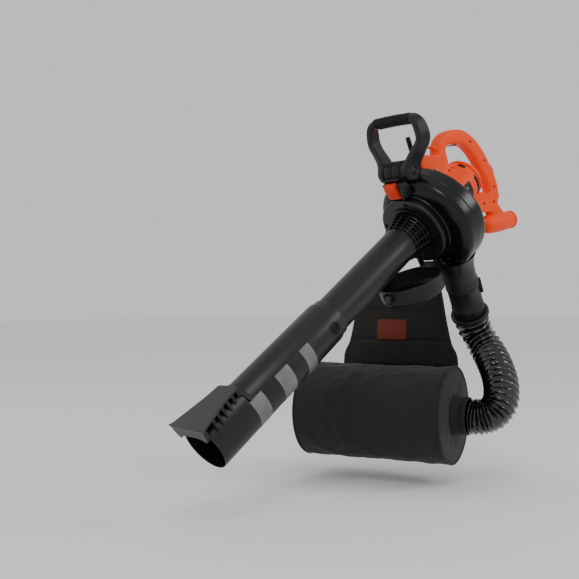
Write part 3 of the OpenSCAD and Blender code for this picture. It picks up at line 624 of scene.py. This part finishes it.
def makeOutlet():
    r, d = outlet["radius"], outlet["duct"]
    duct = turned("outletDuct", [(r + 16, -26), (r + 9, -12), (r + 4, 4), (r + 1, 20), (r, 34), (r, d - 12),
        (r + 2, d - 11), (r + 2, d - 1.2), (r + 1, d), (r - 3, d), (r - 3, -26)], neck, 96, True)
    finished(duct, blackAbs, "root", ["outlet_duct"])
    a = d + outlet["adaptor"]
    adaptor = turned("hoseAdaptor", [(r - 3, d + 0.3), (r + 1, d + 0.3), (r + 2.4, d + 1.5),
        (r + 2.4, d + 10), (r + 1, d + 11.5), (r, d + 13), (r, a - 40),
        (r + 1.2, a - 38), (r + 1.2, a - 34), (r, a - 32), (r, a), (r - 3, a)], neck, 96, True)
    finished(adaptor, charcoalNylon, "root", ["hose_adaptor"])
    ridge = block("adaptorLatch", (r - 1, -11, d + 2), (r + 8, 11, d + 44), neck @ turn("Z", -40), 2.5)
    finished(ridge, charcoalNylon, "root")
    z0, c = a - 12, outlet["collar"]
    collar = turned("hoseCollar", [(r + 0.6, z0), (c - 3, z0), (c - 1, z0 + 2), (c - 1, z0 + 13),
        (c - 3, z0 + 15.8), (r - 4, z0 + 16), (r - 4, z0 + 13.6), (r + 0.6, z0 + 13.2)], neck, 96, True)
    finished(collar, charcoalNylon, "hose_collar", ["hose_collar"])
    path, out = arc(c - 1.6, z0 + 7.5, 0, 360)
    rib = block("rib", (-1.1, -4.8, -1), (1.1, 4.8, 1.5), row, 0.6)
    repeated("collarRibs", path[:-1], out[:-1], neck, rib, outlet["collarRibs"], charcoalNylon, "hose_collar",
        ring=True)


makeOutlet()
print("outlet made")

# front D handle, its grip, hub, release button and pivot
dHandle = {"line": [(46, 0, -10), (47, 2, 8), (56, 6, 30), (74, 9, 54), (87, 10, 73), (91, 8, 90),
    (88, 4, 112), (82, 0, 128), (70, -1, 137), (46, -1, 140), (0, -1, 142)], "deep": 42,
    "thick": 18, "grain": 1.9, "rounds": 3, "sleeveHalf": 60, "sleeve": (33, 25), "sleeveRibs": 18,
    "sleeveHeight": 138.5}


def makeFrontHandle():
    right = list(dHandle["line"])
    line = smoothLine(right + [(-x, y, z) for x, y, z in right[-2::-1]], 8)

    def armAt(t):  # broad flat arms that narrow to the bar between them
        near = math.exp(-((t - 0.5) / 0.17) ** 4)
        low = min(1, max(0, (abs(t - 0.5) - 0.34) / 0.12))  # broader still at the pivot
        return roundedSection(dHandle["deep"] - 12 * near + 14 * low, dHandle["thick"] + 3 * near,
            7 - 4 * near, 40)
    parts = [swept("bow", line, armAt, handle, (0, 1, 0))]
    for m in (-1, 1):
        place = handle @ turn("Y", 90 * m)
        parts.append(turned("cheek", [(24, 33.8), (29.4, 36), (29.4, 51), (26, 54), (0.5, 54), (0.5, 33.8)],
            place, 64))
    bow = fused("frontHandle", parts, dHandle["grain"], dHandle["rounds"])
    wells = []
    for m in (-1, 1):
        wells.append(turned("pinWell", [(9.8, 48.9), (9.8, 64)], handle @ turn("Y", 90 * m), 48))
    carved(bow, wells)
    finished(bow, charcoalNylon, "front_handle", ["front_handle"], 45)

    # ribbed rubber sleeve over the bar, ribs to the inside of the hand
    half = dHandle["sleeveHalf"]
    sleeveLine = [Vector((x, -1, dHandle["sleeveHeight"] + 1.5 * math.cos(x / half * 1.3)))
        for x in range(-half, half + 1, 5)]
    sleeve = swept("gripSleeve", sleeveLine, lambda t: roundedSection(*dHandle["sleeve"], 2.8), handle,
        (0, 1, 0))
    finished(sleeve, gripRubber, "front_handle", ["front_handle_grip"])
    rib = block("gripRib", (-1.9, -12.5, -1.5), (1.9, 12.5, 3.6), row, 1.2)
    under = [(p.x, -1, p.z - 12) for p in sleeveLine]
    repeated("gripRibsUnder", under, [(0, -0.25, -1)] * len(under), handle, rib, dHandle["sleeveRibs"],
        gripRubber, "front_handle")
    rib = block("gripRib", (-1.9, -9, -1.5), (1.9, 9, 2.2), row, 1.0)
    front = [(p.x, -16.6, p.z - 1) for p in sleeveLine]
    repeated("gripRibsFront", front, [(0, -1, 0)] * len(front), handle, rib, dHandle["sleeveRibs"],
        gripRubber, "front_handle")


hubSizes = {"teeth": 15, "toothReach": 27, "toothFrom": 100, "toothTo": 262, "grain": 1.8, "rounds": 5}


def makeHub():
    hub = [turned("hubDrum", [(0.5, -33), (25.5, -33), (27, -31.5), (27, 31.5), (25.5, 33), (0.5, 33)],
        pivot @ turn("Y", 90), 96)]
    saddle = ((102, 34, 16, 78), (122, 34, 15, 76), (140, 33, 16, 74), (160, 31, 20, 70))
    hub.append(lofted("saddle", stackedRings(saddle, 5), tool))
    for m in (-1, 1):
        hub.append(block("cheekWall", (21.2 if m > 0 else -30, -6, 100), (30 if m > 0 else -21.2, 30, 150),
            tool))
    hub.append(slab("sideWing", [(-8, 106), (-15, 122), (-4, 150), (9, 147), (19, 134), (24, 118), (22, 104)],
        29, 43, tool))
    hub.append(block("brow", (-26, 2, 154), (26, 40, 160), tool))
    body = fused("handleHub", hub, hubSizes["grain"], hubSizes["rounds"])
    carved(body, [block("buttonWell", (-20.8, -30, 100), (20.8, 11.5, 151.6), tool)])
    finished(body, charcoalNylon, "root", ["front_handle_bracket"], 45)
    # ratchet teeth round the hub's front
    place = pivot @ turn("Y", 90)
    for n, (low, high) in enumerate(((-27, -3), (3, 27))):
        path, out = arc(hubSizes["toothReach"], (low + high) / 2, hubSizes["toothFrom"], hubSizes["toothTo"])
        tooth = block("tooth", (-2, (low - high) / 2, -2), (2, (high - low) / 2, 2.6), row, 0.9)
        repeated("hubTeeth.%d" % n, path, out, place, tooth, hubSizes["teeth"], charcoalNylon)


releaseButton = {"levels": ((107.5, 19.5, -11, 1.8), (112, 19.5, -12.4, 1.8), (132, 19.5, -16.6, 1.8),
    (138, 19.5, -17.6, 1.8), (149.4, 19.5, -13.4, 1.8), (150.8, 18, -11.6, 1.0)), "ribs": 5}


def makeButton():
    cap = lofted("releaseButton", stackedRings(releaseButton["levels"], 9, 44), tool)
    finished(cap, buttonAbs, "release_button", ["handle_release_button"])
    path = [(0, -12.6, 114), (0, -14.6, 123), (0, -16.4, 132)]
    rib = block("buttonRib", (-0.9, -14, -0.4), (0.9, 14, 0.9), row, 0.5)
    repeated("buttonRibs", path, [(0, -1, 0)] * 3, tool, rib, releaseButton["ribs"], buttonAbs,
        "release_button")
    for m in (-1, 1):
        head = turned("pivotCap.%d" % (m + 1), [(0.4, 55.4), (7.4, 55.2), (9.2, 54.2), (9.2, 50.9),
            (0.4, 50.9)], pivot @ turn("Y", 90 * m), 48)
        finished(head, charcoalNylon, "root")


makeFrontHandle()
makeHub()
makeButton()
print("front handle made")

# cord guard
guardSizes = {"lean": -12, "rings": 9, "first": 5, "step": 5.6, "radius": 7.8}


def makeCordGuard():
    place = tool @ shift(0, 119, 160) @ turn("X", guardSizes["lean"])
    outline = [(10.5, -2), (10.5, 1.2), (8, 2.6)]
    for k in range(guardSizes["rings"]):
        z, r = guardSizes["first"] + k * guardSizes["step"], guardSizes["radius"] - k * 0.08
        outline += [(r, z), (r, z + 2.6), (r - 1.5, z + 3.2), (r - 1.5, z + 5.0)]
    outline += [(6.8, 57.2), (6.2, 58), (4.5, 58), (4.5, -2)]
    finished(turned("cordGuard", outline, place, 48, True), gripRubber, "root", ["cord_guard"])


makeCordGuard()


# inlet ring and cover
def makeInlet():
    ring = turned("inletRing", [(66, -5), (67.5, -7), (92, -8), (97, -7.6), (99.6, -6), (100.6, -3), (101, 1),
        (101, 13.8), (66, 13.8)], alongTool, 128, True)
    cutters = []
    for t in (15, 105, 195, 285):
        cutters.append(softened(block("pocket", (84, -9, -7), (91, -1, 7), tool @ turn("Y", t)), 1.2))
    carved(ring, cutters)
    parts = [ring]
    for x in (-43, 34):
        lug = slab("lug", [(-2, -117), (-2, -98), (8, -98), (14, -117), (12, -123), (6, -126), (0, -123)], x,
            x + 9, tool)
        parts.append(softened(lug, 1.2))
    finished(gathered("inletRing", parts), blackAbs, "root", ["inlet_flange"], 40)


coverSizes = {"radius": 92, "deep": 50, "middle": -104, "slotStep": 12, "slotHalf": 2.6}


def makeCover():
    r, deep, mid = coverSizes["radius"], coverSizes["deep"], coverSizes["middle"]
    step, thin = coverSizes["slotStep"], coverSizes["slotHalf"]
    place = cover @ shift(0, mid, 0)
    shell = turned("coverShell", [(r - 3, -0.4), (r - 1, 0), (r, -1.2), (r, -6), (r - 1.6, -8),
        (r - 1.6, -deep + 16), (r - 5, -deep + 6), (r - 13, -deep + 0.6),
        (r - 24, -deep), (1, -deep), (1, -deep + 3), (r - 24, -deep + 3),
        (r - 15, -deep + 4), (r - 8, -deep + 9), (r - 5, -deep + 17)], place, 128, True)
    slots = []
    for k in range(-5, 6):
        half = math.sqrt(max(0, 62 ** 2 - (k * step) ** 2)) + 4
        if half > 12:
            at = mid + k * step
            slot = block("slot", (-half, at - thin, -deep - 3), (half, at + thin, -deep + 6), cover)
            slots.append(softened(slot, 2))
    carved(shell, slots)
    arm = block("hingeArm", (-33.4, -24, -7), (33.4, -2, 1.6), cover, 2)
    knuckle = turned("hingeKnuckle", [(4.2, -33.4), (6.6, -33.4), (7, -32.6), (7, 32.6), (6.6, 33.4),
        (4.2, 33.4)], cover @ turn("Y", 90), 48, True)
    cheeks = [block("latchCheek", (x, -206.5, -18), (x + 4, -193, -4), cover, 1.2) for x in (-13, 9)]
    finished(gathered("inletCover", [shell, arm, knuckle] + cheeks), charcoalNylon, "inlet_cover",
        ["inlet_cover"], 40)


makeInlet()
makeCover()
print("inlet made")

# tube details
lowerTube = {"joint": 58, "mouth": 63.05, "top": -388, "end": -871, "wall": 2}


def makeLowerTube():
    # second length of the suction tube, flared a little towards an open mouth
    t = lowerTube
    tube = turned("suctionTubeLower", [(49.5, t["top"]), (52.4, t["top"]), (53.2, t["top"] - 1), (53.6, -399),
        (57.2, -410), (t["joint"], -414), (t["mouth"], t["end"] + 1),
        (t["mouth"] - 0.6, t["end"]), (t["mouth"] - t["wall"], t["end"]),
        (54.7, -482), (49.5, -466)], alongTool, 128, True)
    carved(tube, [turned("buttonPocket", [(11.5, 40), (11.5, 90)], latch, 48)])
    finished(tube, blackAbs, "lower_tube", ["suction_tube_lower"], 40)
    # raised guard ring round the latch button
    guard = turned("latchGuard", [(12.4, 50), (17.5, 50), (17.5, 58.8), (16.6, 60), (13.2, 60), (12.4, 59)],
        latch, 64, True)
    finished(guard, blackAbs, "lower_tube")


def makeTubeDetails():
    button = turned("tubeButton", [(0.5, 54.2), (11, 54.2), (11, 58.6), (10, 60), (0.5, 60.3)], latch, 64)
    finished(button, charcoalNylon, "tube_button", ["tube_latch_button"])
    rib = block("buttonRib", (-0.9, -6.2, -0.6), (0.9, 6.2, 1.4), row, 0.5)
    path = [(60.2, y, 0) for y in (-439.6, -432, -424.4)]
    repeated("tubeButtonRibs", path, [(1, 0, 0)] * 3, tool, rib, 5, charcoalNylon, "tube_button")


makeLowerTube()
makeTubeDetails()

rake = {"outline": [(-36, -738), (36, -738), (44, -786), (56, -832), (67, -872), (66, -884), (-66, -884),
    (-67, -872), (-56, -832), (-44, -786)], "height": 66, "thick": 4.2, "teeth": 6}


def makeRake():
    edge = closedCurve(rake["outline"])
    high = rake["height"]
    lip = [(-66, high + 3), (66, high + 3), (64, 52), (55, 33), (-55, 33), (-64, 52)]
    parts = [slab("rakePlate", edge, high, high + rake["thick"], tool, "z"),
        slab("frontLip", lip, -884, -873, tool, "y"),
        block("clip", (-9, -741, 44), (9, -737, high + 2), tool)]
    for m in (-1, 1):
        for k in range(rake["teeth"]):
            x = m * (38 + k * 3.4)
            parts.append(slab("tooth", [(-750 - k * 19.5, high + 1), (-741 - k * 19.5, high + 1),
                (-744 - k * 19.5, 26), (-748 - k * 19.5, 26)], x - 2.4, x + 2.4, tool))
    saddle = []
    for k in range(25):  # spring clip over the tube, its ends turned outwards
        a = math.radians(90 + 62 * (k - 12) / 12)
        flare = 7 * abs((k - 12) / 12) ** 5
        saddle.append([(q * math.cos(a), y, q * math.sin(a))
            for q, y in ((61, -740), (65.5 + flare, -740), (65.5 + flare, -728), (61, -728))])
    parts.append(lofted("clipSaddle", saddle, tool))
    whole = fused("leafRake", parts, 1.5, 2)
    hollow = turned("tubeSpace", [(60.5, -700), (63.3, -872.5)], alongTool, 128)
    mouthHole = slab("mouthHole", [(a, b - 8) for a, b in roundedSection(124, 104, 3.2, 64)], -900, -860,
        tool, "y")
    carved(whole, [hollow, mouthHole])
    finished(whole, blackAbs, "lower_tube", ["leaf_rake"], 45)


makeRake()
print("tube details made")

# debris bag
bagShape = {"radius": 139, "length": 455, "pressure": 4.0, "limit": 0.0075, "grain": 5.0, "top": 147.3}


def clothed(piece, grain, pressure, hold, cap):
    # swells a closed skin like stuffed cloth; hold says which points stay, cap how far one may move
    melt = piece.modifiers.new("melt", "REMESH")
    melt.mode, melt.voxel_size = "VOXEL", grain / 1000
    settle(piece)
    start = [v.co.copy() for v in piece.data.vertices]
    group = piece.vertex_groups.new(name="held")
    for v in piece.data.vertices:
        weight = hold(v.co)
        if weight > 0:
            group.add([v.index], weight, "REPLACE")
    cloth = piece.modifiers.new("cloth", "CLOTH")
    cloth.settings.use_pressure = True
    cloth.settings.uniform_pressure_force = pressure
    cloth.settings.vertex_group_mass = "held"
    cloth.settings.effector_weights.gravity = 0
    cloth.settings.quality = 5
    cloth.settings.bending_stiffness = 2.0
    cloth.point_cache.frame_start, cloth.point_cache.frame_end = 1, 20
    for step in range(1, 21):
        scene.frame_set(step)
    moved = piece.evaluated_get(bpy.context.evaluated_depsgraph_get()).data
    ends = [v.co.copy() for v in moved.vertices]
    piece.modifiers.clear()
    scene.frame_set(1)
    for v, a, b in zip(piece.data.vertices, start, ends):
        step = b - a
        if step.length > cap:
            step = step.normalized() * cap
        v.co = a + step
    return piece


def makeDrum():
    r, long = bagShape["radius"], bagShape["length"]
    outline = [(0.5, -long + 5), (60, -long + 5), (110, -long + 5), (r - 5, -long + 6), (r - 1, -long + 10),
        (r, -long + 16)]
    outline += [(r, -long + 16 + (long - 32) * k / 12) for k in range(1, 12)]
    outline += [(r, -16), (r - 1, -10), (r - 5, -6), (110, -5), (60, -5), (0.5, -5)]
    drum = turned("bagDrum", outline, alongBag, 96)
    back = alongBag.inverted()

    def hold(p):
        q = back @ p * 1000
        radius = math.hypot(q.x, q.y)
        atSeam = radius > r - 6 and (q.z > -14 or q.z < -long + 14)
        return 1.0 if atSeam or (radius < 56 and q.z > -20) else 0.0
    clothed(drum, bagShape["grain"], bagShape["pressure"], hold, bagShape["limit"])
    finer = drum.modifiers.new("finer", "SUBSURF")
    finer.levels = finer.render_levels = 1
    settle(drum)
    for v in drum.data.vertices:  # soft creases, sag along the top and room for the zip
        q = back @ v.co * 1000
        radius = math.hypot(q.x, q.y)
        if radius > 90:
            up = -q.x / radius  # local x points down once the axis lies along the bag
            share = min(1, max(0, (radius - 90) / 40))
            edge = min(1, max(0, min(-q.z, q.z + long) / 60))
            angle = math.atan2(q.y, -q.x)
            ripple = 1.1 * math.sin(9 * angle + 3 * noise.noise(Vector((q.z / 90, angle * 1.4, 4))))
            fold = ripple * math.exp(-((1 - edge) ** 2) / 0.5) * (1 - 0.7 * edge)
            crumple = (3.0 * noise.noise(Vector((q.z / 46, angle * 3.0, 1)))
                + 1.4 * noise.noise(Vector((q.z / 20, angle * 6.0, 7))))
            sag = 6.5 * max(0, up - 0.55) / 0.45 * edge * (0.7 + 0.5 * noise.noise(Vector((q.z / 120, 0, 2))))
            change = share * (fold + crumple * (0.3 + 0.7 * edge) - sag)
            radius2 = min(bagShape["top"], radius + change)
            q.x, q.y = q.x * radius2 / radius, q.y * radius2 / radius
        else:
            pucker = 2.0 * noise.noise(Vector((q.x / 40, q.y / 40, 3)))
            q.z += pucker * min(1, max(0, (radius - 56) / 20))
        v.co = alongBag @ (q / 1000)
    finished(drum, bagCloth, "root", ["bag_drum"], 80)
    # corded seams round both end caps
    for name, z in (("seamNear", -8.0), ("seamFar", -long + 8.0)):
        turns = [k * math.tau / 14 for k in range(14)]
        ringLine = [(r - 1.6 + 3.0 * math.cos(a), z + 3.0 * math.sin(a)) for a in turns]
        finished(turned(name, ringLine, alongBag, 160, True), trimCloth, "root", ())


cuffSizes = {"steps": 160, "gathers": 26, "stitches": 60, "stitchRadius": 54, "stitchHeight": 30}


def makeCuff():
    steps, rings = cuffSizes["steps"], []
    outline = [(50, -3, 0), (57, -3, 0.6), (55.5, 4, 1), (52.6, 12, 1), (52.0, 19, 0.7), (52.4, 24, 0.5),
        (53.4, 26, 0.2), (53.6, 32, 0.1), (53.2, 37, 0.15), (52, 38.6, 0.1), (50.2, 38.2, 0), (50.2, 26, 0)]
    for r, z, gather in outline:
        ring = []
        for k in range(steps):
            a = k * math.tau / steps
            rr = r + gather * 1.3 * (0.5 + 0.5 * math.sin(cuffSizes["gathers"] * a + 1.5 * math.sin(3 * a)))
            ring.append((rr * math.cos(a), rr * math.sin(a), z))
        rings.append(ring)
    cuff = lofted("bagCuff", rings, alongBag, joined=True)
    finished(cuff, bagCloth, "root", ["bag_cuff"], 70)
    path, out = arc(cuffSizes["stitchRadius"], cuffSizes["stitchHeight"], 0, 360)
    stitch = block("stitch", (-1.6, -0.5, -0.3), (1.6, 0.5, 0.5), row, 0.3)
    repeated("cuffStitches", path[:-1], out[:-1], alongBag, stitch, cuffSizes["stitches"], trimCloth,
        ring=True, seed=3)


panel = {"outline": [(-180, -56), (180, -56), (182, 60), (180, 150), (162, 190), (146, 260), (134, 330),
    (124, 368), (108, 378), (-108, 378), (-124, 368), (-134, 330), (-146, 260), (-162, 190),
    (-180, 150), (-182, 60)],
    "front": 146.4, "rear": 155.6, "grain": 4.0, "middle": -227.5, "channels": (40, 120, 200, 290)}


def makePanel():
    edge = closedCurve(panel["outline"])
    pad = slab("backPanel", [(a + panel["middle"], b) for a, b in edge], panel["front"], panel["rear"], bag,
        "y")
    back = bag.inverted()

    def nearEdge(x, z):
        return min(math.hypot(x - a, z - b) for a, b in edge)

    def hold(p):
        q = back @ p * 1000
        x = q.x - panel["middle"]
        return 1.0 if nearEdge(x, q.z) < 7 else 0.0
    clothed(pad, panel["grain"], 3.0, hold, 0.004)
    for v in pad.data.vertices:
        q = back @ v.co * 1000
        x = q.x - panel["middle"]
        middle = (panel["front"] + panel["rear"]) / 2
        groove = max(math.exp(-((q.z - c) / 5) ** 2) for c in panel["channels"])
        groove *= 1 if abs(x) < 150 else 0.3
        wave = 0.9 * noise.noise(Vector((x / 60, q.z / 50, 5)))
        q.y = middle + (q.y - middle) * (1 - 0.55 * groove) + wave
        if q.z < 60:  # lies against the drum
            q.y = max(q.y, 145.5)
        v.co = bag @ (q / 1000)
    finished(pad, bagCloth, "root", ["bag_back_panel"], 80)
    loop = [Vector((a + panel["middle"], (panel["front"] + panel["rear"]) / 2, b)) for a, b in edge]
    binding = swept("panelBinding", loop, lambda t: roundedSection(9, 8, 2.6, 16), bag, (0, 1, 0),
        joined=True)
    finished(binding, trimCloth, "root", (), 60)


strap = {"side": [(162, 366), (162, 350), (174, 330), (198, 308), (210, 278), (216, 240), (212, 182),
    (198, 138), (176, 112), (163, 92), (162, 72)], "apart": 75, "wide": 46, "thick": 5.0, "tail": (30, 2.6)}


def strapAt(t):  # padded webbing that ends in a narrow tail below the slider
    wide = strap["wide"] if t < 0.68 else strap["tail"][0]
    thick = strap["thick"] if t < 0.66 else strap["tail"][1]
    return roundedSection(wide, thick, 5, 24)


def makeStraps():
    parts = []
    for x in (-strap["apart"], strap["apart"]):
        line = smoothLine([(x + panel["middle"], y, z) for y, z in strap["side"]], 8)
        parts.append(swept("strap", line, strapAt, bag))
        parts.append(block("slider", (x + panel["middle"] - 21, 203, 160),
            (x + panel["middle"] + 21, 215, 180), bag, 2))
    straps = gathered("shoulderStraps", parts)
    finished(straps, trimCloth, "root", ["shoulder_straps"], 50)


label = {"wide": 96, "high": 62, "x": -249.5, "z": 232, "stitches": 66}


def makeLabel():
    outline = [(x + label["x"], z + label["z"])
        for x, z in roundedSection(label["wide"], label["high"], 14, 40)]
    patch = softened(slab("bagLabel", outline, 141.6, 144.4, bag, "y"), 0.5, 2, 60)
    finished(patch, labelCloth, "root", ["bag_label"], 50)
    path = [(x + label["x"], 141.4, z + label["z"])
        for x, z in roundedSection(label["wide"] - 6, label["high"] - 6, 14, 40)]
    stitch = block("stitch", (-1.5, -0.45, -0.2), (1.5, 0.45, 0.35), row, 0.2)
    repeated("labelStitches", path, [(0, -1, 0)] * len(path), bag, stitch, label["stitches"], trimCloth,
        ring=True)


zipSizes = {"teeth": 160, "start": -432, "step": 20.5, "points": 21}


def makeZip():
    tooth = block("zipTooth", (-0.9, -2.6, -0.2), (0.9, 2.6, 1.0), row, 0.3)
    path = [(zipSizes["start"] + k * zipSizes["step"], 2.0, 0) for k in range(zipSizes["points"])]
    repeated("zipTeeth", path, [(0, 1, 0)] * zipSizes["points"], zipLine, tooth, zipSizes["teeth"], blackAbs)


makeDrum()
print("bag drum made")
makeCuff()
makePanel()
makeStraps()
makeLabel()
makeZip()
print("bag made")

# CAD nodes that keep their own shape
kept = {
    "suction_tube_upper": blackAbs,
    "reflective_bands": beadFilm, "badge_plate": badgeFilm, "side_vent_inserts": blackAbs,
    "motor_vent_cap": orangeAbs, "bulb_end_cap": orangeAbs, "handle_pivot_pin": zincSteel,
    "release_button_spring": zincSteel, "cord_clamp": blackAbs, "power_switch": blackAbs,
    "switch_body": charcoalNylon, "motor_stator": coreSteel, "motor_armature": windingCopper,
    "commutator": windingCopper, "motor_shaft": zincSteel, "bearing_front": zincSteel,
    "bearing_rear": zincSteel, "carbon_brushes": brushCarbon, "fan_impeller": blackAbs,
    "impeller_nut": zincSteel, "cover_hinge_pin": zincSteel, "cover_latch": blackAbs,
    "bag_zip": trimCloth, "zip_puller": zincSteel, "housing_screws": blackAbs,
    "scroll_screws": zincSteel, "interlock_switch": blackAbs}
for node, finish in kept.items():
    cad[node].data.materials.clear()
    cad[node].data.materials.append(finish)

# plain pale studio
studio = {"floor": -0.93, "ground": "#f2f2f1", "reach": 14, "daylight": 0.75,
    "lamps": (("key", (2.2, -2.6, 2.6), (0, -0.2, -0.3), 1.2, 34),
    ("fill", (-2.4, -2.2, 0.8), (0, -0.3, -0.4), 1.8, 8), ("rim", (2.6, 1.6, 1.6), (0, 0, -0.3), 1.0, 26))}


def makeStudio():
    # pale painted floor, wide enough to meet the pale surroundings at the horizon
    finish, tree, surface, where = newFinish("paleStudioPaint", {"Roughness": 0.9, "Specular IOR Level": 0.1})
    mottled(tree, surface, where, (studio["ground"], "#f6f6f5"), 900)
    far, z = studio["reach"] * 1000, studio["floor"] * 1000
    floor = addPiece("studioFloor", [(-far, -far, z), (far, -far, z), (far, far, z), (-far, far, z)],
        [(0, 1, 2, 3)], row, False)
    floor.data.materials.append(finish)
    world = bpy.data.worlds.new("studioWorld")
    world.use_nodes = True
    world.node_tree.nodes["Background"].inputs["Color"].default_value = (1, 1, 1, 1)
    world.node_tree.nodes["Background"].inputs["Strength"].default_value = studio["daylight"]
    scene.world = world
    for name, place, aim, size, power in studio["lamps"]:
        lamp = bpy.data.lights.new(name, "AREA")
        lamp.energy, lamp.size = power, size
        light = bpy.data.objects.new(name, lamp)
        light.location = place
        light.rotation_euler = (Vector(aim) - Vector(place)).to_track_quat("-Z", "Y").to_euler()
        scene.collection.objects.link(light)


makeStudio()
print("studio made")

bpy.context.view_layer.update()
